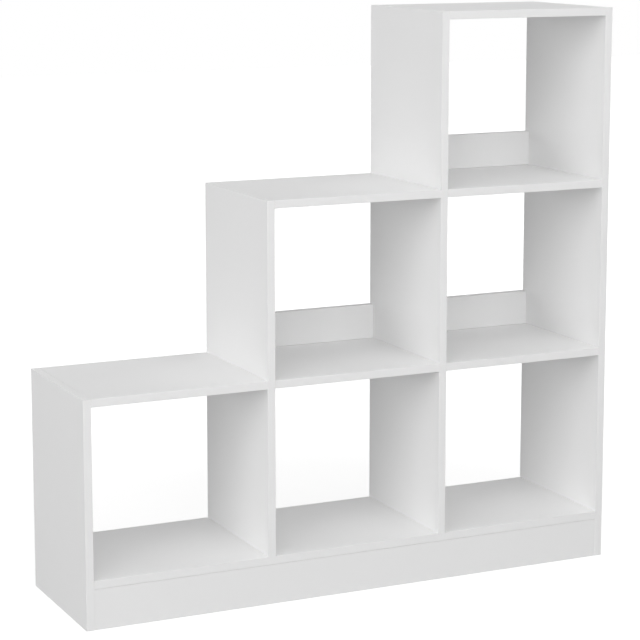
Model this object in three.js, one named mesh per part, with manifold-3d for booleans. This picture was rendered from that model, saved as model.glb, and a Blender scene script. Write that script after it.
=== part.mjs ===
// Staircase bookshelf: three columns of cube openings that climb from one to three high.
// The boards are 15 mm faced chipboard. Every horizontal board stands between two uprights
// and is pulled tight by a cam lock and a cam bolt, with wooden dowels beside them.
// Frame: millimetres, origin on the floor in the middle of the footprint,
// +X towards the high end, -Y to the front, +Z up.

import * as THREE from "three";
import { mergeVertices } from "three/addons/utils/BufferGeometryUtils.js";
import Module from "manifold-3d";

const wasm = await Module();
wasm.setup();

// Carcass
const overallWidth = 1070; // outer face to outer face of the two sides
const overallDepth = 290; // front edges to back edges
const overallHeight = 1075; // floor to the highest top
const boardThickness = 15; // all boards come from the same sheet
const plinthHeight = 75; // floor to the underside of the bottom panel
const railHeight = 68; // shelf surface to the top edge of a back rail
const plinthSetback = 0.5; // front plinth behind the front edges of the sides
const edgeRadius = 0.5; // rounding that the edge banding leaves along an edge

// How pieces meet
const seam = 0.05; // where a board's end is pulled tight against an upright
const restGap = 0.3; // hairline where a board's edge rests on a face, or a panel on the plinths
const fittingGap = 0.3; // air between a dowel or fitting and its hole
const blindSkin = 4; // board left behind a hole that stops inside it
const overrun = 2; // how far a cutter reaches past the face that it starts from
const weldDistance = 0.0001; // corners closer than this are one corner

// Wooden dowels
const dowelDiameter = 8;
const dowelRoot = 6; // how deep the joined solid reaches into the board that carries the dowel
const shelfDowelInset = 40; // front or back edge of a shelf to the dowel at its left end
const dowelStagger = 32; // the right end's dowels sit this much further in, clear of opposed ones
const railDowelOffset = 20; // middle of a rail to its dowel, down at the left end, up at the right
const plinthDowelOffset = 20; // middle of a plinth to each of the two dowels in an end
const footDowelOffset = 32; // middle of a divider's foot to each of its two dowels
const bottomDowelOffset = 32; // middle of the bottom panel to each of the two dowels in an end

// Cam locks: a drum that lies in a pocket and draws the bolt's head in by a spiral lip
const camPocketDiameter = 15;
const camCentreInset = 34; // end of the board to the middle of the cam
const camSkin = 2.7; // board left behind the pocket
const camSink = 0.2; // cam's outer face below the face of the board
const camLipRise = 1.5; // how much the spiral lip opens from locked to free
const camRecessLength = 6.4; // cross recess for the screwdriver
const camRecessWidth = 1.5;
const camRecessDepth = 2.4;
const bottomCamInset = 50; // front or back edge of the bottom panel to its cams

// Cam bolts
const boltChannelDiameter = 8; // bore from the board's end to the cam pocket
const boltShaftDiameter = 6;
const boltCollarThickness = 1.2;
const boltNeckDiameter = 3.6;
const boltHeadDiameter = 6.4;
const boltHeadLength = 5.2;
const boltHeadCone = 0.6; // slope from the neck up to the head
const boltTip = 3; // cone at the end that is driven into the board

// Screws up through the bottom panel into the dividers
const screwHeadDiameter = 10;
const screwHeadDepth = 3.5;
const screwShaftDiameter = 7;
const screwShaftLength = 13; // plain shaft from the head's rim, through the panel
const screwThreadDiameter = 6;
const screwLength = 50;
const screwTip = 4;
const screwTipDiameter = 2.4;
const screwSocketDiameter = 4.6; // corner to corner of the six-sided socket
const screwSocketDepth = 2.8;
const screwInset = 60; // front or back edge of the board to the screw

// Fineness of round forms, in sides
const cornerSteps = 1;
const holeSides = 8;
const boltSides = 6;
const screwSides = 8;
const pocketSides = 12;
const spiralSteps = 4;
const socketSides = 6;

// Angles, in radians
const quarterTurn = Math.PI / 2;
const halfTurn = Math.PI;
const fullTurn = 2 * Math.PI;
const lipStartAngle = -Math.PI / 5; // closed end of the spiral lip, from the bolt's direction
const entryAngle = (2 * Math.PI) / 3; // where the bolt's head goes in before the cam is turned

// Names, from the low end to the high end and from the floor up
const uprightNames = ["left_side", "left_divider", "right_divider", "right_side"];
const shelfNames = [
  ["left_top_panel"],
  ["middle_shelf", "middle_top_panel"],
  ["right_lower_shelf", "right_upper_shelf", "right_top_panel"],
];
const railNames = [[], ["middle_back_rail"], ["right_lower_back_rail", "right_upper_back_rail"]];

// Sizes worked out from the driving ones
const columnCount = shelfNames.length;
const openingWidth = (overallWidth - (columnCount + 1) * boardThickness) / columnCount;
const bottomTop = plinthHeight + boardThickness;
const rowPitch = (overallHeight - bottomTop) / columnCount;
const frontEdge = -overallDepth / 2;
const backEdge = overallDepth / 2;
const blindDepth = boardThickness - blindSkin;
const dowelHoleDiameter = dowelDiameter + 2 * fittingGap;
const dowelReach = blindDepth - fittingGap;
const boltHoleDiameter = boltShaftDiameter + 2 * fittingGap;
const boltReach = seam + camCentreInset; // upright's face to the middle of the bolt's head
const camRadius = camPocketDiameter / 2 - fittingGap;
const camPocketDepth = boardThickness - camSkin;
const camHeight = camPocketDepth - camSink - fittingGap;
const screwHoleDiameter = screwShaftDiameter + 2 * fittingGap;
const screwPilotDiameter = screwThreadDiameter + 2 * fittingGap;

// Middle of an upright, counted from the left, and the height of a row's floor
const uprightX = (i) => -overallWidth / 2 + boardThickness / 2 + i * (openingWidth + boardThickness);
const floorZ = (row) => bottomTop + row * rowPitch;

// Finishes
const whiteBoard = { color: 0xe4e4e3, roughness: 0.55, metalness: 0 };
const castZinc = { color: 0xb4b5b6, roughness: 0.45, metalness: 1 };
const platedSteel = { color: 0xc9c8c4, roughness: 0.3, metalness: 1 };

const right = new THREE.Vector3(1, 0, 0);
const left = new THREE.Vector3(-1, 0, 0);
const back = new THREE.Vector3(0, 1, 0);
const up = new THREE.Vector3(0, 0, 1);
const down = new THREE.Vector3(0, 0, -1);
const at = (x, y, z) => new THREE.Vector3(x, y, z);

// Makes a closed three.js geometry into a solid that can be cut and joined.
function solid(geometry) {
  const bare = geometry.clone();
  bare.deleteAttribute("normal");
  bare.deleteAttribute("uv");
  const welded = mergeVertices(bare, weldDistance);
  const corners = welded.index.array;
  const triangles = [];
  for (let i = 0; i < corners.length; i += 3) {
    const [a, b, c] = corners.slice(i, i + 3);
    if (a !== b && b !== c && c !== a) triangles.push(a, b, c);
  }
  const vertProperties = welded.attributes.position.array;
  const triVerts = new Uint32Array(triangles);
  return new wasm.Manifold(new wasm.Mesh({ numProp: 3, vertProperties, triVerts }));
}

// Gives a solid back as a named mesh with a finish of its own.
function piece(name, shape, finish) {
  const { vertProperties, triVerts } = shape.getMesh();
  const geometry = new THREE.BufferGeometry();
  geometry.setAttribute("position", new THREE.BufferAttribute(vertProperties, 3));
  geometry.setIndex(new THREE.BufferAttribute(triVerts, 1));
  geometry.computeVertexNormals();
  const mesh = new THREE.Mesh(geometry, new THREE.MeshStandardMaterial(finish));
  mesh.name = name;
  return mesh;
}

const cutAll = (shape, cutters) => cutters.reduce((rest, cutter) => rest.subtract(cutter), shape);
const joinAll = (shape, others) => others.reduce((whole, other) => whole.add(other), shape);

// Turns a geometry built along Y so that it points along `way`, and moves its base to `base`.
function aim(geometry, base, way) {
  geometry.applyQuaternion(new THREE.Quaternion().setFromUnitVectors(back, way));
  return geometry.translate(base.x, base.y, base.z);
}

// Round cutter that starts outside the face at `mouth` and goes `depth` into the board.
function bore(mouth, way, diameter, depth, sides = holeSides) {
  const length = depth + overrun;
  const drum = new THREE.CylinderGeometry(diameter / 2, diameter / 2, length, sides);
  return solid(aim(drum.translate(0, length / 2 - overrun, 0), mouth, way));
}

// A turned piece from its profile of [radius, distance along the axis] points.
function turned(profile, sides, base, way) {
  const points = profile.map(([radius, along]) => new THREE.Vector2(radius, along));
  return solid(aim(new THREE.LatheGeometry(points, sides), base, way));
}

// Wooden dowel that stands out of the board's face at `base`.
function dowel(base, way) {
  const length = dowelRoot + dowelReach;
  const peg = new THREE.CylinderGeometry(dowelDiameter / 2, dowelDiameter / 2, length, holeSides);
  return solid(aim(peg.translate(0, length / 2 - dowelRoot, 0), base, way));
}

// Bar along Z with a rectangular section whose long edges are rounded.
function easedBar(width, height, length) {
  const x = width / 2;
  const y = height / 2;
  const r = Math.min(edgeRadius, x / 2, y / 2);
  const outline = new THREE.Shape();
  outline.moveTo(-x + r, -y);
  outline.absarc(x - r, -y + r, r, -quarterTurn, 0);
  outline.absarc(x - r, y - r, r, 0, quarterTurn);
  outline.absarc(-x + r, y - r, r, quarterTurn, halfTurn);
  outline.absarc(-x + r, -y + r, r, halfTurn, halfTurn + quarterTurn);
  const settings = { depth: length, bevelEnabled: false, curveSegments: cornerSteps };
  return new THREE.ExtrudeGeometry(outline, settings).translate(0, 0, -length / 2);
}

// A board that spans between two uprights. `across` is its size from edge to edge, and
// `level` names the height of its fixings, so that boards that meet at an upright share a bolt.
// In its own frame a board runs along X, its edges face -Y and +Y, and its cams open to -Z.
// A board that stands on edge is turned, so that +Y points up and its cams open to the back.
function shelfSpan(column, row) {
  const edge = overallDepth / 2 - shelfDowelInset;
  return {
    name: shelfNames[column][row - 1],
    level: `level_${row}`,
    ends: [column, column + 1],
    middle: [0, floorZ(row) - boardThickness / 2],
    across: overallDepth,
    cams: { "": 0 },
    dowels: [
      [-edge, edge],
      [-edge + dowelStagger, edge - dowelStagger],
    ],
  };
}

function railSpan(column, row) {
  const across = railHeight - restGap;
  return {
    name: railNames[column][row - 1],
    level: `rail_${row}`,
    ends: [column, column + 1],
    middle: [backEdge - boardThickness / 2, floorZ(row) + restGap + across / 2],
    across,
    onEdge: true,
    cams: { "": 0 },
    dowels: [[-railDowelOffset], [railDowelOffset]],
  };
}

function bottomSpan() {
  const edge = overallDepth / 2 - bottomCamInset;
  const dowelPair = [-bottomDowelOffset, bottomDowelOffset];
  return {
    name: "bottom_panel",
    level: "bottom",
    ends: [0, columnCount],
    middle: [0, bottomTop - boardThickness / 2],
    across: overallDepth,
    cams: { _front: -edge, _back: edge },
    dowels: [dowelPair, dowelPair],
  };
}

function plinthSpan(name, y) {
  const across = plinthHeight - restGap;
  const dowelPair = [-plinthDowelOffset, plinthDowelOffset];
  return {
    name,
    level: name,
    ends: [0, columnCount],
    middle: [y, across / 2],
    across,
    onEdge: true,
    cams: {},
    dowels: [dowelPair, dowelPair],
  };
}

const bottomPanel = bottomSpan();
const plinths = [
  plinthSpan("front_plinth", frontEdge + plinthSetback + boardThickness / 2),
  plinthSpan("rear_plinth", backEdge - boardThickness / 2),
];
const shelves = shelfNames.flatMap((names, column) => names.map((_, i) => shelfSpan(column, i + 1)));
const rails = railNames.flatMap((names, column) => names.map((_, i) => railSpan(column, i + 1)));
const spans = [bottomPanel, ...plinths, ...shelves, ...rails];

const spanLength = (span) =>
  uprightX(span.ends[1]) - uprightX(span.ends[0]) - boardThickness - 2 * seam;

// Depth and height of a fixing that lies `offset` from the middle of a span's end.
function fixingPlace(span, offset) {
  const [y, z] = span.middle;
  return span.onEdge ? [y, z + offset] : [y + offset, z];
}

// The dividers stand on the bottom panel: their numbers, and the depths of their foot fixings
const dividers = uprightNames.map((_, i) => i).slice(1, -1);
const screwOffsets = { front: frontEdge + screwInset, back: backEdge - screwInset };
const footDowelYs = [-footDowelOffset, footDowelOffset];

// The board of a span, in its own frame, with its dowels, cam pockets and bolt channels.
function spanBoard(span) {
  const length = spanLength(span);
  const face = -boardThickness / 2;
  const board = solid(easedBar(boardThickness, span.across, length).rotateY(quarterTurn));
  const cutters = [];
  const pegs = [];
  [left, right].forEach((way, end) => {
    const endX = (way.x * length) / 2;
    for (const y of span.dowels[end]) pegs.push(dowel(at(endX, y, 0), way));
    for (const y of Object.values(span.cams)) {
      const camX = endX - way.x * camCentreInset;
      const inward = way.clone().negate();
      cutters.push(bore(at(camX, y, face), up, camPocketDiameter, camPocketDepth, pocketSides));
      cutters.push(bore(at(endX, y, 0), inward, boltChannelDiameter, camCentreInset));
    }
  });
  if (span === bottomPanel) cutters.push(...bottomPanelHoles());
  if (plinths.includes(span)) {
    for (const i of dividers) pegs.push(dowel(at(uprightX(i), span.across / 2, 0), back));
  }
  return joinAll(cutAll(board, cutters), pegs);
}

// Holes in the bottom panel for the dividers' dowels and screws and for the plinths' dowels.
function bottomPanelHoles() {
  const top = boardThickness / 2;
  const cutters = [];
  for (const i of dividers) {
    const x = uprightX(i);
    for (const y of footDowelYs) cutters.push(bore(at(x, y, top), down, dowelHoleDiameter, blindDepth));
    for (const { middle } of plinths) {
      cutters.push(bore(at(x, middle[0], -top), up, dowelHoleDiameter, blindDepth));
    }
    for (const y of Object.values(screwOffsets)) {
      const mouth = at(x, y, -top);
      cutters.push(bore(mouth, up, screwHoleDiameter, boardThickness + overrun));
      cutters.push(turned(countersinkProfile(), screwSides, mouth, up));
    }
  }
  return cutters;
}

// Funnel that the screw's head sits in, a gap larger than the head all round.
function countersinkProfile() {
  const rim = screwHeadDiameter / 2 + fittingGap;
  const throat = screwHoleDiameter / 2;
  return [
    [0, -overrun],
    [rim, -overrun],
    [rim, fittingGap],
    [throat, fittingGap + screwHeadDepth],
    [0, fittingGap + screwHeadDepth],
  ];
}

// All fixings of the spans that meet one face of an upright, with depth and height.
function fixingsOn(upright, way) {
  const end = way === right ? 0 : 1;
  const met = spans.filter((span) => span.ends[end] === upright);
  const bolts = new Map();
  const dowels = [];
  for (const span of met) {
    for (const [tag, offset] of Object.entries(span.cams)) {
      bolts.set(span.level + tag, fixingPlace(span, offset));
    }
    for (const offset of span.dowels[end]) dowels.push(fixingPlace(span, offset));
  }
  return { bolts, dowels };
}

const uprightTop = (i) => floorZ(Math.min(i + 1, columnCount));
const uprightFoot = (i) => (dividers.includes(i) ? bottomTop + seam : 0);

// An upright in the bookshelf's own heights and depths, with its middle on x = 0.
function uprightBoard(i) {
  const foot = uprightFoot(i);
  const height = uprightTop(i) - foot;
  const upright = solid(easedBar(boardThickness, overallDepth, height).translate(0, 0, foot + height / 2));
  const capLength = height + overrun;
  const cap = easedBar(boardThickness, capLength, overallDepth + overrun).rotateX(quarterTurn);
  const eased = upright.intersect(solid(cap.translate(0, 0, foot - overrun + capLength / 2)));
  const cutters = [];
  const pegs = [];
  const faces = [left, right].map((way) => ({ way, ...fixingsOn(i, way) }));
  for (const { way, bolts, dowels } of faces) {
    const inward = way.clone().negate();
    const faceX = (way.x * boardThickness) / 2;
    const opposed = faces.find((face) => face.way !== way).bolts;
    for (const [y, z] of dowels) cutters.push(bore(at(faceX, y, z), inward, dowelHoleDiameter, blindDepth));
    for (const [key, [y, z]] of bolts) {
      const depth = opposed.has(key) ? boardThickness + overrun : blindDepth;
      cutters.push(bore(at(faceX, y, z), inward, boltHoleDiameter, depth));
    }
  }
  if (dividers.includes(i)) {
    const pilotDepth = screwLength - boardThickness - seam;
    for (const y of Object.values(screwOffsets)) {
      cutters.push(bore(at(0, y, foot), up, screwPilotDiameter, pilotDepth));
    }
    for (const y of footDowelYs) pegs.push(dowel(at(0, y, foot), down));
  }
  return joinAll(cutAll(eased, cutters), pegs);
}

// Cam lock round the point where its axis crosses the bolt's axis: the bolt comes from +X and
// the driver's recess is at -Z. The lip narrows along a spiral from the entry to its closed end,
// and the slot beside it lets the bolt's neck pass while the cam turns.
function camLock() {
  const outerFace = camSink - boardThickness / 2;
  const lipClosed = boltHeadLength / 2 + 2 * fittingGap;
  const headRoom = boltHeadDiameter / 2 + fittingGap;
  const neckRoom = boltNeckDiameter / 2 + fittingGap;
  const drum = new THREE.CylinderGeometry(camRadius, camRadius, camHeight, pocketSides);
  const body = solid(aim(drum.translate(0, camHeight / 2, 0), at(0, 0, outerFace), up));
  const lip = spread(lipStartAngle, entryAngle, spiralSteps).map((angle, i) =>
    polar(lipClosed + (camLipRise * i) / spiralSteps, angle),
  );
  const headReach = Math.hypot(boltHeadLength / 2, boltHeadDiameter / 2);
  const heelStep = (lipStartAngle + fullTurn - entryAngle) / spiralSteps;
  const heelRadius = (headReach + fittingGap) / Math.cos(heelStep / 2);
  const heel = spread(entryAngle, lipStartAngle + fullTurn, spiralSteps).map((angle) =>
    polar(heelRadius, angle),
  );
  const sweep = spread(0, entryAngle, spiralSteps).map((angle) => polar(camPocketDiameter, angle));
  const closedEnd = [new THREE.Vector2(0, -neckRoom), new THREE.Vector2(camPocketDiameter, -neckRoom)];
  const entry = new THREE.BoxGeometry(camPocketDiameter, 2 * headRoom, 2 * headRoom)
    .translate(camPocketDiameter / 2, 0, 0)
    .rotateZ(entryAngle);
  const recess = [quarterTurn, halfTurn].map((turn) =>
    new THREE.BoxGeometry(camRecessLength, camRecessWidth, 2 * camRecessDepth)
      .rotateZ(turn)
      .translate(0, 0, outerFace),
  );
  return cutAll(body, [
    slab([...lip, ...heel], 2 * headRoom),
    slab([...closedEnd, ...sweep, new THREE.Vector2(0, 0)], 2 * neckRoom),
    ...[entry, ...recess].map(solid),
  ]);
}

// Flat plate of an outline in X and Y, with its middle height on z = 0.
function slab(outline, height) {
  const settings = { depth: height, bevelEnabled: false };
  return solid(new THREE.ExtrudeGeometry(new THREE.Shape(outline), settings).translate(0, 0, -height / 2));
}

// Evenly spread angles from the first to the last.
const spread = (first, last, steps) =>
  Array.from({ length: steps + 1 }, (_, i) => first + ((last - first) * i) / steps);
const polar = (radius, angle) => new THREE.Vector2(radius * Math.cos(angle), radius * Math.sin(angle));

// Profile of the end of a bolt that the cam holds, from the shaft to the tip of the head.
function boltHeadProfile() {
  const shaft = boltShaftDiameter / 2;
  const neck = boltNeckDiameter / 2;
  const head = boltHeadDiameter / 2;
  const headStart = boltReach - boltHeadLength / 2;
  const headEnd = boltReach + boltHeadLength / 2;
  const shaftEnd = boltReach - camPocketDiameter / 2;
  return [
    [shaft, shaftEnd - (shaft - neck)],
    [neck, shaftEnd],
    [neck, headStart],
    [head, headStart + boltHeadCone],
    [head, headEnd],
    [0, headEnd],
  ];
}

// Bolt driven into one upright; x = 0 is the upright's face and +X points to the cam.
function camBolt() {
  const shaft = boltShaftDiameter / 2;
  const collar = boltChannelDiameter / 2 - fittingGap;
  const threadEnd = fittingGap - blindDepth;
  const collarEnd = fittingGap + boltCollarThickness;
  const profile = [
    [0, threadEnd],
    [shaft, threadEnd + boltTip],
    [shaft, fittingGap],
    [collar, fittingGap],
    [collar, collarEnd],
    [shaft, collarEnd],
    ...boltHeadProfile(),
  ];
  return turned(profile, boltSides, at(0, 0, 0), right);
}

// Bolt that passes through a divider and has a head at both ends; x = 0 is the divider's middle.
function doubleCamBolt() {
  const half = boltHeadProfile().map(([radius, along]) => [radius, along + boardThickness / 2]);
  const mirrored = half.map(([radius, along]) => [radius, -along]).reverse();
  return turned([...mirrored, ...half], boltSides, at(0, 0, 0), right);
}

// Countersunk screw that points up; z = 0 is the underside of the bottom panel.
function carcassScrew() {
  const head = screwHeadDiameter / 2;
  const shaft = screwShaftDiameter / 2;
  const thread = screwThreadDiameter / 2;
  const profile = [
    [0, fittingGap],
    [head, fittingGap],
    [shaft, fittingGap + screwHeadDepth],
    [shaft, screwShaftLength],
    [thread, screwShaftLength + (shaft - thread)],
    [thread, screwLength - screwTip],
    [screwTipDiameter / 2, screwLength - fittingGap],
    [0, screwLength - fittingGap],
  ];
  const socket = bore(at(0, 0, fittingGap), up, screwSocketDiameter, screwSocketDepth, socketSides);
  return turned(profile, screwSides, at(0, 0, 0), up).subtract(socket);
}

const bookshelf = new THREE.Group();

const camShape = camLock();
for (const span of spans) {
  const length = spanLength(span);
  const group = new THREE.Group();
  const middleX = (uprightX(span.ends[0]) + uprightX(span.ends[1])) / 2;
  group.position.set(middleX, ...span.middle);
  if (span.onEdge) group.rotation.x = quarterTurn;
  group.add(piece(span.name, spanBoard(span), whiteBoard));
  for (const [end, way] of Object.entries({ left, right })) {
    for (const [tag, y] of Object.entries(span.cams)) {
      const cam = piece(`cam_lock_${span.name}_${end}${tag}`, camShape, castZinc);
      cam.position.set(way.x * (length / 2 - camCentreInset), y, 0);
      if (way === left) cam.rotation.z = halfTurn;
      group.add(cam);
    }
  }
  bookshelf.add(group);
}

const boltShape = camBolt();
const doubleBoltShape = doubleCamBolt();
const screwShape = carcassScrew();
uprightNames.forEach((name, i) => {
  const group = new THREE.Group();
  group.position.x = uprightX(i);
  group.add(piece(name, uprightBoard(i), whiteBoard));
  const leftBolts = fixingsOn(i, left).bolts;
  const rightBolts = fixingsOn(i, right).bolts;
  for (const [key, [y, z]] of new Map([...leftBolts, ...rightBolts])) {
    const both = leftBolts.has(key) && rightBolts.has(key);
    const bolt = both
      ? piece(`double_cam_bolt_${name}_${key}`, doubleBoltShape, platedSteel)
      : piece(`cam_bolt_${name}_${key}`, boltShape, platedSteel);
    const side = leftBolts.has(key) ? -1 : 1;
    bolt.position.set(both ? 0 : (side * boardThickness) / 2, y, z);
    if (!both && side < 0) bolt.rotation.z = halfTurn;
    group.add(bolt);
  }
  if (dividers.includes(i)) {
    for (const [place, y] of Object.entries(screwOffsets)) {
      const screw = piece(`carcass_screw_${name}_${place}`, screwShape, platedSteel);
      screw.position.set(0, y, plinthHeight);
      group.add(screw);
    }
  }
  bookshelf.add(group);
});

export default bookshelf;
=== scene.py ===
"""Staircase bookshelf in a plain studio.

White faced boards with edge banding, the cam locks, cam bolts and screws that hold them, and a
pale floor with soft lamps. Lengths are in metres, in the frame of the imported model: origin on the
floor in the middle of the footprint, +X to the high end, -Y to the front, +Z up.
"""

import math

import bpy
import numpy as np
from bpy.props import FloatProperty, FloatVectorProperty, IntProperty, PointerProperty
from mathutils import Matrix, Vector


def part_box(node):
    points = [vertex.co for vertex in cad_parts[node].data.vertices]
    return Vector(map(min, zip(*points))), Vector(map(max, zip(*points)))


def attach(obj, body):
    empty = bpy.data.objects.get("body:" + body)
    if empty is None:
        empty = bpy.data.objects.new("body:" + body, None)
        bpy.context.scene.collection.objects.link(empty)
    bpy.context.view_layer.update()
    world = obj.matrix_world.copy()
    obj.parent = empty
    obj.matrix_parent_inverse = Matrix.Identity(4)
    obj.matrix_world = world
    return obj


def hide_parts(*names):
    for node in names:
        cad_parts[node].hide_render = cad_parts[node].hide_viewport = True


bl_info = {
    "name": "Staircase Bookshelf",
    "version": (1, 0, 0),
    "blender": (4, 5, 0),
    "location": "View3D > Sidebar > Bookshelf",
    "description": "Finishes a staircase bookshelf of faced boards and its hidden fittings",
    "category": "Add Mesh",
}

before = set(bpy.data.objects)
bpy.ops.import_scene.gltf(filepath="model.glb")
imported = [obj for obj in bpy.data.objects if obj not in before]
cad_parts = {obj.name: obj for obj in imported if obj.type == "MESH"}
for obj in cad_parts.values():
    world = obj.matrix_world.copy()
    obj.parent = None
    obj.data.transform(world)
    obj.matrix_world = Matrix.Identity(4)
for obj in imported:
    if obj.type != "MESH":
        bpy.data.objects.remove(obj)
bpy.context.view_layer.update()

BODY = "root"
X, Y, Z = range(3)

# Names in the frame, from the low end to the high end
UPRIGHTS = ("left_side", "left_divider", "right_divider", "right_side")
SIDES = (UPRIGHTS[0], UPRIGHTS[-1])
PLINTHS = ("front_plinth", "rear_plinth")
FITTINGS = ("cam_lock_", "cam_bolt_", "double_cam_bolt_", "carcass_screw_")
BOARDS = tuple(sorted(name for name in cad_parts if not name.startswith(FITTINGS)))

# Finish of the boards
CLOUD_SIZE = 0.22  # width of a soft cloud in the white, in metres
CLOUD_DARK = 0.988  # darkest white, as a share of the face's colour
CHIPS_PER_METRE = 620.0
CHIP_DARK, CHIP_LIGHT = 0.62, 1.3  # darkest and lightest chip, as shares of the chipboard's colour
GRAIN_ALONG, GRAIN_ACROSS = 12.0, 260.0  # changes per metre of a dowel's grain
GRAIN_DARK = 0.72  # darkest grain, as a share of the dowels' colour
DOWEL_START = 0.0001  # how far outside its board's box a point has to be to count as dowel
HANDLED_SIZE = 0.06  # width of a patch that is a little smoother or rougher
FACE_ROUGHNESS = (0.46, 0.58)
BAND_ROUGHNESS = 0.5
BARE_ROUGHNESS = 0.9
BAND_CALM = 0.7  # share of the pearl texture that a band lacks
CHIP_DEPTH = 8.0  # depth of a chip, counted in pearl dimples
BOARD_GLOSS = 0.35

# Finish of the metals
SKIN_SIZE = 0.0007  # width of one spot of the fine skin
SKIN_DEPTH = 0.00003
SKIN_STRENGTH = 0.5
STAIN_SIZE = 0.006  # width of a cloud in the metal's tone
ZINC_DARK, ZINC_ROUGHNESS = 0.82, (0.34, 0.52)
STEEL_DARK, STEEL_ROUGHNESS = 0.88, (0.2, 0.36)
TURNING_ROUND, TURNING_ALONG = 0.15, 4.0  # squeeze of the skin into rings, round and along the axis
SHARP_ANGLE = math.radians(32)  # edges bent more than this stay sharp

# Cam lock
CAM_BEVEL = 0.05  # bevel round both ends, as a share of the radius
CAM_FLANGE = 0.9  # ring on the flat inner side of each flange, as a share of the radius
RECESS_FLOOR = (0.24, 0.3)  # half the cross's floor, as shares of its length and of its width
LIP_LOCKED, LIP_ENTRY = math.radians(-34), math.radians(120)  # ends of the spiral, from the bolt

# Bolt head: shares of its own radius
HEAD_EASE = 0.14
HEAD_CROSS, HEAD_CROSS_FLOOR = (0.62, 0.16), (0.34, 0.1)  # half length and half width of the cross
HEAD_CROSS_DEPTH = 0.5
HEAD_SLOPE = 0.0004  # height of the slope from the neck out to the head, in metres

# Cam bolt: radii as shares of the shaft's, lengths in metres
BOLT_ROOT, BOLT_COLLAR = 0.74, 1.23
COLLAR_LENGTH, COLLAR_EASE = 0.0012, 0.0002
BOLT_TIP_LENGTH, BOLT_RUNOUT = 0.0012, 0.0014
BOLT_TIP = (0.3, 0.8)  # radius of the point and of its slope's end, as shares of the root's
THREAD_GAP = 0.0004  # plain stretch at either end of a bolt's thread

# Carcass screw: radii as shares of the head's, lengths in metres
SCREW_SHAFT, SCREW_CREST, SCREW_ROOT = 0.7, 0.6, 0.42
SCREW_HEAD_DEPTH, SCREW_HEAD_EASE = 0.0035, 0.0003
SCREW_SHAFT_END = 0.0127
SOCKET_HALF_WIDTH, SOCKET_DEPTH, SOCKET_EASE = 0.002, 0.0028, 0.0002
SCREW_RUN_IN, SCREW_RUNOUT = 0.0014, 0.003
SCREW_TIP_LENGTH = 0.0028
SCREW_TIP = (0.55, 0.9)  # radius of the point and of its slope's end, as shares of the root's

RINGS_PER_PITCH = 12
RIDGE_WIDTH = 0.55  # share of the pitch that a thread's ridge takes up


def nodes_named(start):
    """Names of the frame's nodes that begin with a word, in order."""
    found = sorted(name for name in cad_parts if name.startswith(start))
    if not found:
        raise RuntimeError(f"the frame has no node whose name begins with {start}")
    return found


def corners(node):
    """Lowest and highest corner of a node as two arrays."""
    low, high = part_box(node)
    return np.array(low), np.array(high)


class BoardSettings(bpy.types.PropertyGroup):
    """Colours and sizes of the faced chipboard."""

    face_color: FloatVectorProperty(
        name="Face",
        description="Melamine facing on both sides of a board",
        subtype="COLOR",
        size=3,
        min=0,
        max=1,
        default=(0.86, 0.86, 0.86),
    )
    band_color: FloatVectorProperty(
        name="Edge band",
        description="Plastic band glued to the edges that show",
        subtype="COLOR",
        size=3,
        min=0,
        max=1,
        default=(0.86, 0.86, 0.86),
    )
    chip_color: FloatVectorProperty(
        name="Chipboard",
        description="Raw core in drilled holes and on the ends that meet another board",
        subtype="COLOR",
        size=3,
        min=0,
        max=1,
        default=(0.45, 0.31, 0.18),
    )
    dowel_color: FloatVectorProperty(
        name="Dowels",
        description="Beech dowels glued into the boards",
        subtype="COLOR",
        size=3,
        min=0,
        max=1,
        default=(0.56, 0.39, 0.24),
    )
    band_thickness: FloatProperty(
        name="Band thickness",
        description="Thickness of the edge band",
        subtype="DISTANCE",
        unit="LENGTH",
        default=0.00045,
    )
    facing_thickness: FloatProperty(
        name="Facing thickness",
        description="How deep the white facing reaches into a drilled hole",
        subtype="DISTANCE",
        unit="LENGTH",
        default=0.0003,
    )
    grain_size: FloatProperty(
        name="Pearl grain",
        description="Width of one dimple of the facing's fine pearl texture",
        subtype="DISTANCE",
        unit="LENGTH",
        default=0.0016,
    )
    grain_depth: FloatProperty(
        name="Grain depth",
        description="Depth of the pearl texture",
        subtype="DISTANCE",
        unit="LENGTH",
        default=0.00002,
    )


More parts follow.
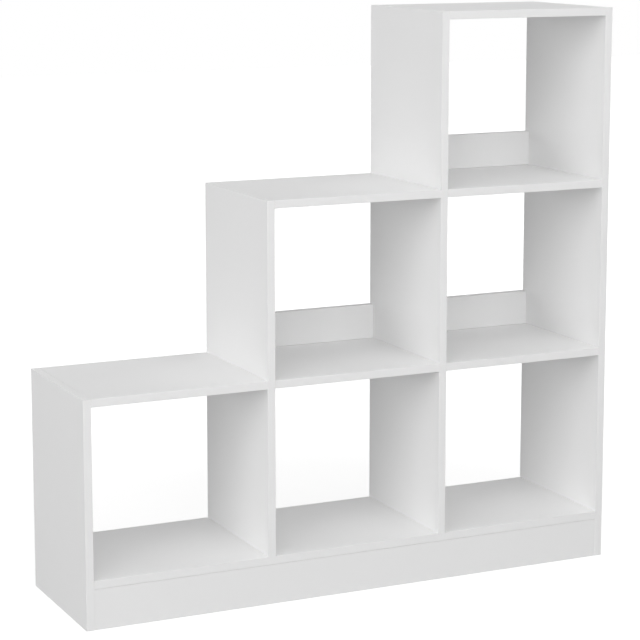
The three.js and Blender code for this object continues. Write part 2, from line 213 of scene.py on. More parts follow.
class FittingSettings(bpy.types.PropertyGroup):
    """Sizes and colours of the cam locks, bolts and screws."""

    zinc_color: FloatVectorProperty(
        name="Cast zinc",
        description="Drum of a cam lock",
        subtype="COLOR",
        size=3,
        min=0,
        max=1,
        default=(0.52, 0.52, 0.53),
    )
    steel_color: FloatVectorProperty(
        name="Plated steel",
        description="Cam bolts and screws",
        subtype="COLOR",
        size=3,
        min=0,
        max=1,
        default=(0.54, 0.535, 0.515),
    )
    cross_length: FloatProperty(
        name="Cross length",
        description="Driver's cross recess in a cam, from tip to tip",
        subtype="DISTANCE",
        unit="LENGTH",
        default=0.0064,
    )
    cross_width: FloatProperty(
        name="Cross width",
        description="Width of one arm of the cross recess",
        subtype="DISTANCE",
        unit="LENGTH",
        default=0.0015,
    )
    cross_depth: FloatProperty(
        name="Cross depth",
        description="Depth of the cross recess in a cam",
        subtype="DISTANCE",
        unit="LENGTH",
        default=0.0024,
    )
    head_diameter: FloatProperty(
        name="Bolt head",
        description="Diameter of the head that a cam grips",
        subtype="DISTANCE",
        unit="LENGTH",
        default=0.0064,
    )
    head_length: FloatProperty(
        name="Bolt head length",
        description="Length of the head along the bolt",
        subtype="DISTANCE",
        unit="LENGTH",
        default=0.0052,
    )
    neck_diameter: FloatProperty(
        name="Bolt neck",
        description="Diameter of the neck that runs in a cam's slot",
        subtype="DISTANCE",
        unit="LENGTH",
        default=0.0036,
    )
    neck_length: FloatProperty(
        name="Neck length",
        description="Length of the neck, from the head to the rim of the cam",
        subtype="DISTANCE",
        unit="LENGTH",
        default=0.0049,
    )
    shaft_diameter: FloatProperty(
        name="Bolt shaft",
        description="Diameter of a cam bolt's shaft, and of its thread over the crests",
        subtype="DISTANCE",
        unit="LENGTH",
        default=0.006,
    )
    lip_rise: FloatProperty(
        name="Lip rise",
        description="How much a cam's spiral lip opens from locked to free",
        subtype="DISTANCE",
        unit="LENGTH",
        default=0.0015,
    )
    clearance: FloatProperty(
        name="Clearance",
        description="Air between a fitting and what it runs in",
        subtype="DISTANCE",
        unit="LENGTH",
        default=0.0003,
    )
    bolt_pitch: FloatProperty(
        name="Bolt thread pitch",
        description="Rise of a cam bolt's thread in one turn",
        subtype="DISTANCE",
        unit="LENGTH",
        default=0.0017,
    )
    screw_pitch: FloatProperty(
        name="Screw thread pitch",
        description="Rise of a carcass screw's thread in one turn",
        subtype="DISTANCE",
        unit="LENGTH",
        default=0.003,
    )
    round_steps: IntProperty(
        name="Round steps",
        description="Points round a fitting",
        default=72,
        min=12,
    )


class StudioSettings(bpy.types.PropertyGroup):
    """Floor, lamps and background."""

    floor_color: FloatVectorProperty(
        name="Floor",
        description="Pale floor that throws light back under the boards",
        subtype="COLOR",
        size=3,
        min=0,
        max=1,
        default=(0.42, 0.42, 0.42),
    )
    ambient: FloatProperty(
        name="Ambient",
        description="Level of the even light from all round",
        default=0.14,
        min=0,
    )
    in_gloss: FloatProperty(
        name="Background in gloss",
        description="How bright gloss shows the white background, as a share of what the camera sees",
        subtype="FACTOR",
        default=0.7,
        min=0,
        max=1,
    )
    lamp_distance: FloatProperty(
        name="Lamp distance",
        description="How far the lamps stand from the middle of the bookshelf",
        subtype="DISTANCE",
        unit="LENGTH",
        default=9.0,
    )
    lamp_size: FloatProperty(
        name="Lamp size",
        description="Diameter of each round lamp",
        subtype="DISTANCE",
        unit="LENGTH",
        default=6.0,
    )
    lamp_level: FloatProperty(
        name="Lamp level",
        description="Turns all lamps up or down together",
        subtype="FACTOR",
        default=1.0,
        min=0,
        max=2,
    )


SETTINGS = {
    "bookshelf_boards": BoardSettings,
    "bookshelf_fittings": FittingSettings,
    "bookshelf_studio": StudioSettings,
}


def add_node(tree, kind, inputs=(), **settings):
    """Adds a node with its settings, and feeds each input with a socket's link or a plain value."""
    made = tree.nodes.new(kind)
    for key, value in settings.items():
        setattr(made, key, value)
    for key, value in dict(inputs).items():
        if isinstance(value, bpy.types.NodeSocket):
            tree.links.new(value, made.inputs[key])
        else:
            made.inputs[key].default_value = value
    return made


def math_node(tree, operation, first, second=0.0):
    """Result of a Math node on two sockets or numbers."""
    return add_node(tree, "ShaderNodeMath", {0: first, 1: second}, operation=operation).outputs[0]


def vector_node(tree, operation, first, second=(0, 0, 0)):
    """Result of a Vector Math node on two sockets or vectors."""
    inputs = {0: first, 1: second}
    return add_node(tree, "ShaderNodeVectorMath", inputs, operation=operation).outputs[0]


def mix_colors(tree, share, first, second):
    """Colour that goes from the first to the second as the share goes from 0 to 1. The Mix node has
    its colours at inputs 6 and 7 and output 2."""
    inputs = {"Factor": share, 6: first, 7: second}
    return add_node(tree, "ShaderNodeMix", inputs, data_type="RGBA").outputs[2]


def mix_values(tree, share, first, second):
    """Number that goes from the first to the second as the share goes from 0 to 1. The Mix node has
    its numbers at inputs 2 and 3 and output 0."""
    inputs = {"Factor": share, 2: first, 3: second}
    return add_node(tree, "ShaderNodeMix", inputs, data_type="FLOAT").outputs[0]


def least_component(tree, vector):
    """Smallest of a vector's three components."""
    parts = add_node(tree, "ShaderNodeSeparateXYZ", {0: vector}).outputs
    least = math_node(tree, "MINIMUM", parts[0], parts[1])
    return math_node(tree, "MINIMUM", least, parts[2])


def noise(tree, vector, size, detail=2.0):
    """Noise whose features are about `size` metres wide."""
    inputs = {"Vector": vector, "Scale": 1 / size, "Detail": detail}
    return add_node(tree, "ShaderNodeTexNoise", inputs).outputs["Fac"]


def shade(color, share=1.0):
    """A share of a colour, with full opacity as the nodes want it."""
    return (*np.minimum(np.array(color) * share, 1.0), 1.0)


def new_material(name):
    """An empty node material with its Principled shader, and the tree they live in."""
    material = bpy.data.materials.new(name)
    material.use_nodes = True
    tree = material.node_tree
    tree.nodes.clear()
    shader = tree.nodes.new("ShaderNodeBsdfPrincipled")
    output = tree.nodes.new("ShaderNodeOutputMaterial")
    tree.links.new(shader.outputs[0], output.inputs[0])
    return material, tree, shader


def finish_node(node, material):
    """Puts a material on every slot of a carried-over node."""
    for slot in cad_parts[node].material_slots:
        slot.material = material


def board_box(name):
    """Corners of a board without its dowels: its node's box, cut back to the boards that it meets."""
    low, high = corners(name)
    if name in UPRIGHTS:
        if name not in SIDES:
            low[Z] = corners("bottom_panel")[1][Z]
        return low, high
    for upright in UPRIGHTS:
        first, last = corners(upright)
        if first[X] < low[X] < last[X]:
            low[X] = last[X]
        if first[X] < high[X] < last[X]:
            high[X] = first[X]
    if name in PLINTHS:
        high[Z] = corners("bottom_panel")[0][Z]
    return low, high


def raw_faces(name):
    """Which low and high faces of a board are raw chipboard, because they end on another board."""
    low = np.zeros(3, bool)
    high = np.zeros(3, bool)
    if name in UPRIGHTS:
        low[Z] = name not in SIDES
    else:
        low[X] = high[X] = True
    return low, high


def nearest_of(tree, to_low, to_high, low_faces, high_faces):
    """Distance to the nearest of some faces of a box. The others are moved far away first."""
    far = 10.0
    low = vector_node(tree, "ADD", to_low, tuple(far * (1 - low_faces)))
    high = vector_node(tree, "ADD", to_high, tuple(far * (1 - high_faces)))
    return least_component(tree, vector_node(tree, "MINIMUM", low, high))


def board_material(name, sizes):
    """Faced chipboard. Each point's distances to the six faces of its own board say what it is made
    of: band within a band's thickness of a banded edge, facing within the facing's thickness of a
    wide face, beech where a dowel stands out of the box, and raw core everywhere else, on the cut
    ends too."""
    material, tree, shader = new_material("board_" + name)
    low, high = board_box(name)
    thin = np.arange(3) == np.argmin(high - low)
    raw_low, raw_high = raw_faces(name)
    place = add_node(tree, "ShaderNodeTexCoord").outputs["Object"]
    to_low = vector_node(tree, "SUBTRACT", place, tuple(low))
    to_high = vector_node(tree, "SUBTRACT", tuple(high), place)
    every = np.ones(3)
    depth = nearest_of(tree, to_low, to_high, every, every)
    to_band = nearest_of(tree, to_low, to_high, ~(raw_low | thin), ~(raw_high | thin))
    to_facing = nearest_of(tree, to_low, to_high, thin, thin)
    band = math_node(tree, "LESS_THAN", to_band, sizes.band_thickness)
    core = math_node(tree, "GREATER_THAN", to_facing, sizes.facing_thickness)
    core = math_node(tree, "MULTIPLY", core, math_node(tree, "SUBTRACT", 1.0, band))
    beech = math_node(tree, "LESS_THAN", depth, -DOWEL_START)

    cloud = noise(tree, place, CLOUD_SIZE, 1.0)
    face = mix_colors(tree, cloud, shade(sizes.face_color, CLOUD_DARK), shade(sizes.face_color))
    white = mix_colors(tree, band, face, shade(sizes.band_color))
    cells = add_node(tree, "ShaderNodeTexVoronoi", {"Vector": place, "Scale": CHIPS_PER_METRE})
    chip = add_node(tree, "ShaderNodeSeparateColor", {0: cells.outputs["Color"]}).outputs[0]
    dark_chip, light_chip = (shade(sizes.chip_color, share) for share in (CHIP_DARK, CHIP_LIGHT))
    raw = mix_colors(tree, chip, dark_chip, light_chip)
    stretch = [GRAIN_ACROSS] * 3
    stretch[Z if name in UPRIGHTS else X] = GRAIN_ALONG
    grain = noise(tree, vector_node(tree, "MULTIPLY", place, stretch), 1.0, 3.0)
    wood = mix_colors(tree, grain, shade(sizes.dowel_color, GRAIN_DARK), shade(sizes.dowel_color))
    color = mix_colors(tree, beech, mix_colors(tree, core, white, raw), wood)
    tree.links.new(color, shader.inputs["Base Color"])

    handled = noise(tree, place, HANDLED_SIZE, 3.0)
    satin = mix_values(tree, handled, *FACE_ROUGHNESS)
    satin = mix_values(tree, band, satin, BAND_ROUGHNESS)
    bare = math_node(tree, "MAXIMUM", core, beech)
    tree.links.new(mix_values(tree, bare, satin, BARE_ROUGHNESS), shader.inputs["Roughness"])

    quiet = math_node(tree, "SUBTRACT", 1.0, math_node(tree, "MULTIPLY", band, BAND_CALM))
    pearl = math_node(tree, "MULTIPLY", noise(tree, place, sizes.grain_size, 1.0), quiet)
    height = mix_values(tree, bare, pearl, math_node(tree, "MULTIPLY", chip, CHIP_DEPTH))
    relief = {"Height": height, "Strength": 1.0, "Distance": sizes.grain_depth}
    tree.links.new(add_node(tree, "ShaderNodeBump", relief).outputs[0], shader.inputs["Normal"])
    shader.inputs["Specular IOR Level"].default_value = BOARD_GLOSS
    return material


def metal_material(name, color, dark, rough, stretch):
    """Metal whose tone drifts in soft clouds and whose roughness follows a fine skin. The skin's noise
    is stretched by axis, even for a casting and in fine rings along the axis of a turned piece."""
    material, tree, shader = new_material(name)
    place = add_node(tree, "ShaderNodeTexCoord").outputs["Object"]
    skin = noise(tree, vector_node(tree, "MULTIPLY", place, stretch), SKIN_SIZE, 4.0)
    tone = mix_colors(tree, noise(tree, place, STAIN_SIZE), shade(color, dark), shade(color))
    tree.links.new(tone, shader.inputs["Base Color"])
    tree.links.new(mix_values(tree, skin, *rough), shader.inputs["Roughness"])
    relief = {"Height": skin, "Strength": SKIN_STRENGTH, "Distance": SKIN_DEPTH}
    tree.links.new(add_node(tree, "ShaderNodeBump", relief).outputs[0], shader.inputs["Normal"])
    shader.inputs["Metallic"].default_value = 1.0
    return material


def steel_material(sizes, axis):
    """Bright plated steel with turning rings along one axis."""
    stretch = [TURNING_ROUND] * 3
    stretch[axis] = TURNING_ALONG
    name = f"plated_steel_{'xyz'[axis]}"
    return metal_material(name, sizes.steel_color, STEEL_DARK, STEEL_ROUGHNESS, stretch)


class BOOKSHELF_OT_boards(bpy.types.Operator):
    """Finish the sixteen boards with white facing, edge bands, raw core and beech dowels"""

    bl_idname = "bookshelf.boards"
    bl_label = "Boards"

    def execute(self, context):
        """Gives each board a material that knows the board's own box."""
        for name in BOARDS:
            finish_node(name, board_material(name, context.scene.bookshelf_boards))
        return {"FINISHED"}


def ring_stack(radii, heights, turn):
    """Closed shell from a stack of rings. Ring j is the curve (radius * cos a, radius * sin a, height)
    over the angles a of one turn. The first and last ring close to a point on the axis.
    Quads join each ring to the next, and a fan of triangles closes each end."""
    rings, steps = radii.shape
    points = np.stack([radii * np.cos(turn), radii * np.sin(turn), heights], axis=-1).reshape(-1, 3)
    ends = np.array([[0, 0, heights[0].mean()], [0, 0, heights[-1].mean()]])
    here = np.arange(steps)
    after = np.roll(here, -1)
    rows = np.arange(rings - 1)[:, None] * steps
    quads = np.stack([rows + here, rows + after, rows + steps + after, rows + steps + here], axis=-1)
    top = (rings - 1) * steps
    first = np.stack([np.full(steps, rings * steps), after, here], axis=-1)
    last = np.stack([np.full(steps, rings * steps + 1), top + here, top + after], axis=-1)
    return np.vstack([points, ends]), [*quads.reshape(-1, 4).tolist(), *first.tolist(), *last.tolist()]


def rings_of(profile, turn):
    """Radius and height of every ring of a profile. A profile's point is (radius, height), and each
    of the two is one number for a round ring or a function of the angle."""

    def ring(value):
        return value(turn) if callable(value) else np.full(turn.shape, value)

    radii, heights = zip(*profile)
    return np.array([ring(radius) for radius in radii]), np.array([ring(height) for height in heights])


def arc_wall(turn, inner, outer, low, high):
    """Closed shell of a wall on an arc: a rectangle from the inner to the outer radius and from low to
    high, carried over the angles of the arc, with the inner radius free to change along it."""
    across = np.stack([inner, np.full(turn.shape, outer)], axis=-1)[:, [0, 1, 1, 0]]
    up = np.broadcast_to([low, low, high, high], across.shape)
    angle = turn[:, None]
    points = np.stack([across * np.cos(angle), across * np.sin(angle), up], axis=-1).reshape(-1, 3)
    here = np.arange(4)
    after = np.roll(here, -1)
    rows = np.arange(len(turn) - 1)[:, None] * 4
    quads = np.stack([rows + here, rows + after, rows + 4 + after, rows + 4 + here], axis=-1)
    last = 4 * (len(turn) - 1)
    caps = [[3, 2, 1, 0], [last, last + 1, last + 2, last + 3]]
    return points, [*quads.reshape(-1, 4)[:, ::-1].tolist(), *[cap[::-1] for cap in caps]]


def cross_radius(half_length, half_width):
    """Distance from the middle of a cross to its outline: each bar ends at its length or at its side,
    whichever is nearer, and the cross reaches as far as the longer of its two bars."""

    def radius(turn):
        tiny = 1e-6  # keeps both divisions finite
        along, aside = (np.maximum(np.abs(part), tiny) for part in (np.cos(turn), np.sin(turn)))
        bar = np.minimum(half_length / along, half_width / aside)
        other = np.minimum(half_length / aside, half_width / along)
        return np.maximum(bar, other)

    return radius


def hexagon_radius(half_width):
    """Distance from the middle of a hexagon to its outline: its half width over the cosine of the
    angle to the nearest side's middle."""
    side = math.tau / 6

    def radius(turn):
        return half_width / np.cos((turn + side / 2) % side - side / 2)

    return radius


def thread_radius(root, crest, pitch, height, fade):
    """Radius of a screw thread at one height. The ridge is a triangle over the distance to the helix,
    which climbs one pitch in a turn, and `fade` from 0 to 1 lowers it where the thread runs out."""

    def radius(turn):
        phase = (height / pitch - turn / math.tau) % 1.0
        ridge = np.clip(1 - np.abs(2 * phase - 1) / RIDGE_WIDTH, 0, 1)
        return root + (crest - root) * ridge * fade

    return radius


def thread(root, crest, pitch, start, end, runout):
    """Profile points of a threaded stretch, faded in and out at its ends over the run-out."""
    rings = max(2, round(RINGS_PER_PITCH * abs(end - start) / pitch))
    for height in np.linspace(start, end, rings):
        fade = np.clip(min(abs(height - start), abs(end - height)) / runout, 0, 1)
        yield thread_radius(root, crest, pitch, height, fade), height


def whole_turn(steps):
    """Angles of one turn, without the last, which is the first again."""
    return np.linspace(0, math.tau, steps, endpoint=False)


def turned_shell(profile, steps):
    """Closed shell of a turned piece from its profile."""
    turn = whole_turn(steps)
    return ring_stack(*rings_of(list(profile), turn), turn)


def united(shells):
    """One closed shell round several that overlap: a Boolean joins each of them to the first."""
    items = []
    for points, faces in shells:
        mesh = bpy.data.meshes.new("shell")
        mesh.from_pydata(points.tolist(), [], faces)
        items.append(bpy.data.objects.new("shell", mesh))
        bpy.context.scene.collection.objects.link(items[-1])
    for other in items[1:]:
        join = items[0].modifiers.new("join", "BOOLEAN")
        join.operation = "UNION"
        join.solver = "MANIFOLD"
        join.object = other
    skin = items[0].evaluated_get(bpy.context.evaluated_depsgraph_get()).to_mesh()
    points = np.empty(3 * len(skin.vertices))
    skin.vertices.foreach_get("co", points)
    faces = [list(face.vertices) for face in skin.polygons]
    for item in items:
        mesh = item.data
        bpy.data.objects.remove(item)
        bpy.data.meshes.remove(mesh)
    return points.reshape(-1, 3), faces


def make_piece(node, shell, origin, axes, material):
    """Makes a shell's mesh, sets it in the bookshelf's frame and lets it stand for its node. A point
    goes to the origin plus each of its coordinates times that row of the axes."""
    points, faces = shell
    placed = np.asarray(origin) + points @ np.asarray(axes, float)
    mesh = bpy.data.meshes.new("fine_" + node)
    mesh.from_pydata(placed.tolist(), [], faces)
    mesh.shade_smooth()
    mesh.set_sharp_from_angle(angle=SHARP_ANGLE)
    mesh.materials.append(material)
    piece = bpy.data.objects.new("fine_" + node, mesh)
    bpy.context.scene.collection.objects.link(piece)
    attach(piece, BODY)
    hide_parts(node)


def cam_shell(sizes, radius, face, back):
    """Shell of a cam lock round the point where its axis crosses the bolt's. The bolt comes from +X
    and the driver's recess is at the face, on -Z. A flange at each end holds a wall that runs round
    the heel at full height. Beside it two lips leave a slot for the neck, and their inner side is a
    spiral: its radius grows evenly with the angle from the locked end to the head's way in."""
    gap = sizes.clearance
    bevel = radius * CAM_BEVEL
    brim = bevel / 3
    flat = radius - bevel
    floor_length, floor_width = RECESS_FLOOR
    mouth = cross_radius(sizes.cross_length / 2, sizes.cross_width / 2)
    edge = cross_radius(sizes.cross_length / 2 + brim, sizes.cross_width / 2 + brim)
    floor = cross_radius(sizes.cross_length * floor_length, sizes.cross_width * floor_width)

    def halfway(angle):
        return (edge(angle) + flat) / 2

    head_room = sizes.head_diameter / 2 + gap
    neck_room = sizes.neck_diameter / 2 + gap
    flange = radius * CAM_FLANGE
    outer = [(floor, face + sizes.cross_depth), (mouth, face + brim), (edge, face), (halfway, face)]
    outer += [(flat, face), (radius, face + bevel), (radius, -head_room), (flange, -head_room)]
    inner = [(flange, head_room), (radius, head_room), (radius, back - bevel), (flat, back)]
    shells = [turned_shell(profile, sizes.round_steps) for profile in (outer, inner)]

    closed = sizes.head_length / 2 + 2 * gap
    heel = math.hypot(sizes.head_length, sizes.head_diameter) / 2 + 1.5 * gap
    half_entry = math.asin(head_room / radius)
    slot_end = -math.asin(neck_room / closed)

    def lip_radius(angle):
        """Inner radius of the wall: a spiral from the locked end to the entry, then the heel."""
        share = (angle - LIP_LOCKED) % math.tau / (LIP_ENTRY - LIP_LOCKED)
        return np.where(share < 1, closed + sizes.lip_rise * share, heel)

    overlap = gap / 10
    high = head_room + overlap
    heel_turn = np.linspace(LIP_ENTRY + half_entry, math.tau + slot_end, sizes.round_steps)
    shells.append(arc_wall(heel_turn, lip_radius(heel_turn), radius - overlap, -high, high))
    lip_turn = np.linspace(slot_end, LIP_ENTRY - half_entry, sizes.round_steps // 2)
    lip = lip_radius(lip_turn)
    # The first step of a lip reaches into the heel's wall, so that the two join in one skin
    lip_turn[0] -= 2 * overlap / radius
    lip[0] = heel + gap
    for low, top in ((neck_room, high), (-high, -neck_room)):
        shells.append(arc_wall(lip_turn, lip, radius - 2 * overlap, low, top))
    return united(shells)


def head_profile(sizes, head_end):
    """Profile of a bolt's gripped end: the shaft, the neck, and the head with its driver's cross."""
    shaft = sizes.shaft_diameter / 2
    neck = sizes.neck_diameter / 2
    head = sizes.head_diameter / 2
    ease = head * HEAD_EASE
    head_start = head_end - sizes.head_length
    neck_start = head_start - sizes.neck_length
    cross = cross_radius(*(head * share for share in HEAD_CROSS))
    floor = cross_radius(*(head * share for share in HEAD_CROSS_FLOOR))
    yield shaft, neck_start - (shaft - neck)
    yield neck, neck_start
    yield neck, head_start
    yield head - ease, head_start + HEAD_SLOPE
    yield head, head_start + HEAD_SLOPE + ease
    yield head, head_end - ease
    yield head - ease, head_end
    yield cross, head_end
    yield floor, head_end - head * HEAD_CROSS_DEPTH


def upright_of(node):
    """The upright that a bolt is driven into: the one that its name holds."""
    return next(name for name in UPRIGHTS if name in node)


def bolt_shell(sizes, length, driven):
    """Shell of a cam bolt along Z: a coarse thread up to the upright's face at 0, a collar that stops
    it, a plain shaft, and the head."""
    shaft = sizes.shaft_diameter / 2
    root = shaft * BOLT_ROOT
    collar = shaft * BOLT_COLLAR
    start = sizes.clearance
    end = start + COLLAR_LENGTH
    tip_end = BOLT_TIP_LENGTH - driven
    point, slope = BOLT_TIP
    profile = [(root * point, -driven), (root * slope, tip_end)]
    profile += thread(root, shaft, sizes.bolt_pitch, tip_end + THREAD_GAP, -THREAD_GAP, BOLT_RUNOUT)
    profile += [(root, start), (collar - COLLAR_EASE, start), (collar, start + COLLAR_EASE)]
    profile += [(collar, end - COLLAR_EASE), (collar - COLLAR_EASE, end), (shaft, end)]
    profile += head_profile(sizes, length - driven)
    return turned_shell(profile, sizes.round_steps)


def double_bolt_shell(sizes, length):
    """Shell of a bolt with a head at both ends, along Z: one end, and its mirror below 0."""
    half = list(head_profile(sizes, length / 2))
    mirrored = [(radius, -height) for radius, height in reversed(half)]
    return turned_shell([*mirrored, *half], sizes.round_steps)


def screw_shell(sizes, head, length):
    """Shell of a carcass screw along Z: a countersunk head with a six-sided socket, a plain shaft
    through the bottom panel, and a coarse thread to the blunt tip."""
    shaft = head * SCREW_SHAFT
    root = head * SCREW_ROOT
    socket = hexagon_radius(SOCKET_HALF_WIDTH)
    mouth = hexagon_radius(SOCKET_HALF_WIDTH + SOCKET_EASE)
    profile = [(socket, SOCKET_DEPTH), (socket, SOCKET_EASE), (mouth, 0.0)]
    profile += [(head - SCREW_HEAD_EASE, 0.0), (head, SCREW_HEAD_EASE), (shaft, SCREW_HEAD_DEPTH)]
    profile += [(shaft, SCREW_SHAFT_END), (root, SCREW_SHAFT_END + shaft - root)]
    start, end = SCREW_SHAFT_END + SCREW_RUN_IN, length - SCREW_RUNOUT
    profile += thread(root, head * SCREW_CREST, sizes.screw_pitch, start, end, SCREW_RUNOUT)
    point, slope = SCREW_TIP
    profile += [(root * slope, length - SCREW_TIP_LENGTH), (root * point, length)]
    return turned_shell(profile, sizes.round_steps)


class BOOKSHELF_OT_cam_locks(bpy.types.Operator):
    """Build the cam locks in the ends of the shelves, tops, rails and bottom panel"""

    bl_idname = "bookshelf.cam_locks"
    bl_label = "Cam locks"

    def execute(self, context):
        """Each cam takes its place from its node, and its middle from the board that holds it."""
        sizes = context.scene.bookshelf_fittings
        zinc = metal_material("cast_zinc", sizes.zinc_color, ZINC_DARK, ZINC_ROUGHNESS, (1, 1, 1))
        for node in nodes_named("cam_lock_"):
            low, high = corners(node)
            span = next(board for board in BOARDS if node.startswith(f"cam_lock_{board}_"))
            board_low, board_high = board_box(span)
            thin = int(np.argmin(board_high - board_low))
            centre = (low + high) / 2
            centre[thin] = (board_low[thin] + board_high[thin]) / 2
            toward_bolt = np.sign(centre[X] - (board_low[X] + board_high[X]) / 2) * np.eye(3)[X]
            inward = np.eye(3)[Z] if thin == Z else -np.eye(3)[Y]
            ends = sorted(float((corner - centre)[thin] * inward[thin]) for corner in (low, high))
            axes = [toward_bolt, np.cross(inward, toward_bolt), inward]
            shell = cam_shell(sizes, (high - low)[X] / 2, *ends)
            make_piece(node, shell, centre, axes, zinc)
        return {"FINISHED"}


class BOOKSHELF_OT_cam_bolts(bpy.types.Operator):
    """Build the bolts that the cams pull in"""

    bl_idname = "bookshelf.cam_bolts"
    bl_label = "Cam bolts"

    def execute(self, context):
        """Single bolts start at their upright's face, and double ones lie in its middle."""
        sizes = context.scene.bookshelf_fittings
        steel = steel_material(sizes, X)
        for node in nodes_named("cam_bolt_"):
            low, high = corners(node)
            first, last = corners(upright_of(node))
            middle = (low + high) / 2
            way = 1 if middle[X] > (first[X] + last[X]) / 2 else -1
            face = last[X] if way > 0 else first[X]
            driven = (face - low[X]) if way > 0 else (high[X] - face)
            axes = [(0, way, 0), (0, 0, 1), (way, 0, 0)]
            shell = bolt_shell(sizes, high[X] - low[X], driven)
            make_piece(node, shell, (face, middle[Y], middle[Z]), axes, steel)
        for node in nodes_named("double_cam_bolt_"):
            low, high = corners(node)
            axes = [(0, 1, 0), (0, 0, 1), (1, 0, 0)]
            shell = double_bolt_shell(sizes, high[X] - low[X])
            make_piece(node, shell, (low + high) / 2, axes, steel)
        return {"FINISHED"}


class BOOKSHELF_OT_screws(bpy.types.Operator):
    """Build the screws that go up through the bottom panel into the dividers"""

    bl_idname = "bookshelf.screws"
    bl_label = "Carcass screws"

    def execute(self, context):
        """Each screw stands on its node's lowest point, upright."""
        sizes = context.scene.bookshelf_fittings
        steel = steel_material(sizes, Z)
        for node in nodes_named("carcass_screw_"):
            low, high = corners(node)
            base = ((low[X] + high[X]) / 2, (low[Y] + high[Y]) / 2, low[Z])
            shell = screw_shell(sizes, (high[X] - low[X]) / 2 - sizes.clearance, high[Z] - low[Z])
            make_piece(node, shell, base, np.eye(3), steel)
        return {"FINISHED"}


# Floor
FLOOR_HALF_WIDTH = 12.0
FLOOR_DROP = 0.0002  # how far the floor lies under the boards, so that the two never share a plane
FLOOR_CLOUD_SIZE, FLOOR_CLOUD_DARK = 0.9, 0.96
GLOW_START, GLOW_END = 0.8, 2.4  # distances from the middle between which the floor's glow rises
GLOW_UNDER = 0.74  # glow from the middle out to the first distance; beyond the second it is 1

# Each lamp's direction in degrees, round from the front to the right and up from the floor, and its
# power in watts
LAMPS = {
    "front_high": (0, 35, 174.0),
    "front_left_low": (-30, 15, 158.0),
    "front_left_high": (-30, 45, 143.0),
    "left_low": (-65, 10, 228.0),
    "left_high": (-65, 40, 64.0),
    "front_right_high": (35, 45, 121.0),
    "overhead": (0, 89, 64.0),
    "rear_left": (-140, 4, 170.0),
    "rear": (180, 4, 240.0),
    "right": (100, 4, 430.0),
}
# These stand low and would only glare in the tops, so gloss doesn't see them
MATT_LAMPS = ("rear_left", "rear", "right")
LAMP_TARGET = (0.0, 0.0, 0.5)

# Camera, worked out from the photograph: it looks down a little and round from the left
CAMERA_PLACE = (-1.7324, -3.6226, 1.2617)
CAMERA_DOWN, CAMERA_ROUND = math.radians(9.169), math.radians(25.4245)
CAMERA_LENS, CAMERA_SHIFT = 121.4, -0.1


def seen_directly(tree, in_gloss):
    """How much of the white background a ray finds: all of it from the camera or through glass, the
    given share by way of gloss, and nothing by any other way."""
    rays = add_node(tree, "ShaderNodeLightPath").outputs
    seen = math_node(tree, "MAXIMUM", rays["Is Camera Ray"], rays["Is Transmission Ray"])
    shine = math_node(tree, "MULTIPLY", rays["Is Glossy Ray"], in_gloss)
    return math_node(tree, "MAXIMUM", seen, shine)


def make_world(ambient, in_gloss):
    """White where it is seen, and an even grey light everywhere else."""
    world = bpy.data.worlds.new("studio")
    bpy.context.scene.world = world
    world.use_nodes = True
    tree = world.node_tree
    tree.nodes.clear()
    strength = mix_values(tree, seen_directly(tree, in_gloss), ambient, 1.0)
    light = add_node(tree, "ShaderNodeBackground", {"Color": (1, 1, 1, 1), "Strength": strength})
    output = tree.nodes.new("ShaderNodeOutputWorld")
    tree.links.new(light.outputs[0], output.inputs[0])


def make_floor(color, in_gloss):
    """Flat pale floor that looks white and keeps a soft shadow under the bookshelf."""
    mesh = bpy.data.meshes.new("studio_floor")
    signs = ((-1, -1), (1, -1), (1, 1), (-1, 1))
    points = [(x * FLOOR_HALF_WIDTH, y * FLOOR_HALF_WIDTH, -FLOOR_DROP) for x, y in signs]
    mesh.from_pydata(points, [], [(0, 1, 2, 3)])
    floor = bpy.data.objects.new("studio_floor", mesh)
    bpy.context.scene.collection.objects.link(floor)
    material = bpy.data.materials.new("studio_floor")
    material.use_nodes = True
    tree = material.node_tree
    tree.nodes.clear()
    place = add_node(tree, "ShaderNodeTexCoord").outputs["Object"]
    away = add_node(tree, "ShaderNodeVectorMath", {0: place}, operation="LENGTH").outputs["Value"]
    fade = {"From Min": GLOW_START, "From Max": GLOW_END, "To Min": GLOW_UNDER, "To Max": 1.0}
    glow = add_node(tree, "ShaderNodeMapRange", {"Value": away, **fade}).outputs[0]
    cloud = noise(tree, place, FLOOR_CLOUD_SIZE)
    pale = mix_colors(tree, cloud, shade(color, FLOOR_CLOUD_DARK), shade(color))
    matt = add_node(tree, "ShaderNodeBsdfDiffuse", {"Color": pale}).outputs[0]
    glow = math_node(tree, "MULTIPLY", glow, seen_directly(tree, in_gloss))
    white = add_node(tree, "ShaderNodeEmission", {"Color": (1, 1, 1, 1), "Strength": glow}).outputs[0]
    both = add_node(tree, "ShaderNodeAddShader", {0: matt, 1: white}).outputs[0]
    output = tree.nodes.new("ShaderNodeOutputMaterial")
    tree.links.new(both, output.inputs[0])
    mesh.materials.append(material)


def look_at(item, place, target):
    """Puts a lamp at a place and turns it to a target."""
    item.location = place
    way = np.array(target, float) - np.array(place, float)
    flat = math.hypot(way[X], way[Y])
    item.rotation_euler = (math.atan2(flat, -way[Z]), 0, math.atan2(-way[X], way[Y]))


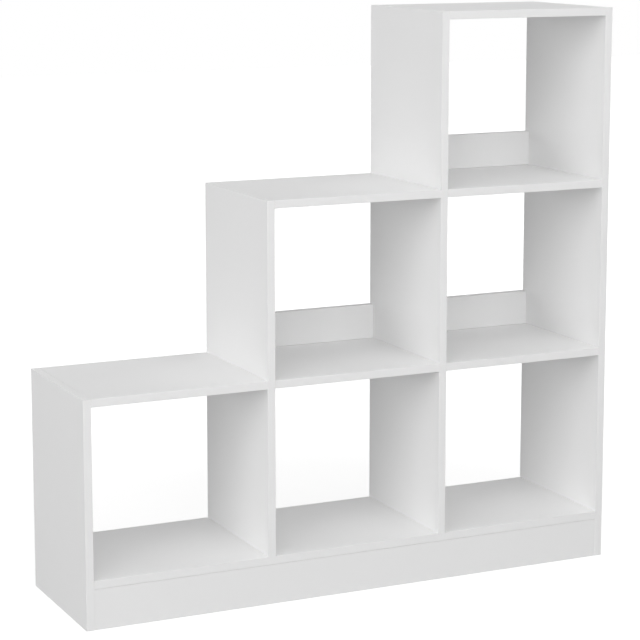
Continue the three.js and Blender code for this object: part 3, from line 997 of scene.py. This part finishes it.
def make_lamps(settings):
    """Large soft lamps on a dome round the bookshelf, farther out than a camera stands."""
    for name, (turn, rise, power) in LAMPS.items():
        lamp = bpy.data.lights.new(name, "AREA")
        lamp.shape = "DISK"
        lamp.size = settings.lamp_size
        lamp.energy = power * settings.lamp_level
        item = bpy.data.objects.new(name, lamp)
        item.visible_camera = False
        item.visible_glossy = name not in MATT_LAMPS
        bpy.context.scene.collection.objects.link(item)
        turn, rise = math.radians(turn), math.radians(rise)
        flat = math.cos(rise)
        way = np.array([math.sin(turn) * flat, -math.cos(turn) * flat, math.sin(rise)])
        look_at(item, LAMP_TARGET + settings.lamp_distance * way, LAMP_TARGET)


def make_camera():
    """Camera at the photograph's angle, a little above the highest top."""
    camera = bpy.data.cameras.new("photo_camera")
    camera.lens = CAMERA_LENS
    camera.shift_y = CAMERA_SHIFT
    item = bpy.data.objects.new("photo_camera", camera)
    bpy.context.scene.collection.objects.link(item)
    item.location = CAMERA_PLACE
    item.rotation_euler = (math.pi / 2 - CAMERA_DOWN, 0, -CAMERA_ROUND)
    bpy.context.scene.camera = item


class BOOKSHELF_OT_studio(bpy.types.Operator):
    """Set up the floor, the background, the lamps and the camera"""

    bl_idname = "bookshelf.studio"
    bl_label = "Studio"

    def execute(self, context):
        """Builds the stage round the bookshelf."""
        settings = context.scene.bookshelf_studio
        context.scene.view_settings.view_transform = "Standard"
        make_world(settings.ambient, settings.in_gloss)
        make_floor(settings.floor_color, settings.in_gloss)
        make_lamps(settings)
        make_camera()
        return {"FINISHED"}


class VIEW3D_PT_bookshelf(bpy.types.Panel):
    """Lists the settings and the steps that finish the bookshelf"""

    bl_label = "Staircase Bookshelf"
    bl_space_type = "VIEW_3D"
    bl_region_type = "UI"
    bl_category = "Bookshelf"

    def draw(self, context):
        """One box for each group of settings, then one button for each step."""
        for attribute, group in SETTINGS.items():
            box = self.layout.box()
            settings = getattr(context.scene, attribute)
            for key in group.__annotations__:
                box.prop(settings, key)
        for step in STEPS:
            self.layout.operator(step.bl_idname)


STEPS = (
    BOOKSHELF_OT_boards,
    BOOKSHELF_OT_cam_locks,
    BOOKSHELF_OT_cam_bolts,
    BOOKSHELF_OT_screws,
    BOOKSHELF_OT_studio,
)
CLASSES = (*SETTINGS.values(), *STEPS, VIEW3D_PT_bookshelf)


def register():
    """Registers the classes and hangs the settings on the scene."""
    for item in CLASSES:
        bpy.utils.register_class(item)
    for attribute, group in SETTINGS.items():
        setattr(bpy.types.Scene, attribute, PointerProperty(type=group))


def unregister():
    """Takes the settings and the classes away again."""
    for attribute in SETTINGS:
        delattr(bpy.types.Scene, attribute)
    for item in reversed(CLASSES):
        bpy.utils.unregister_class(item)


def main():
    """Builds everything in order."""
    register()
    bpy.ops.bookshelf.boards()
    bpy.ops.bookshelf.cam_locks()
    bpy.ops.bookshelf.cam_bolts()
    bpy.ops.bookshelf.screws()
    bpy.ops.bookshelf.studio()


if __name__ == "__main__":
    main()
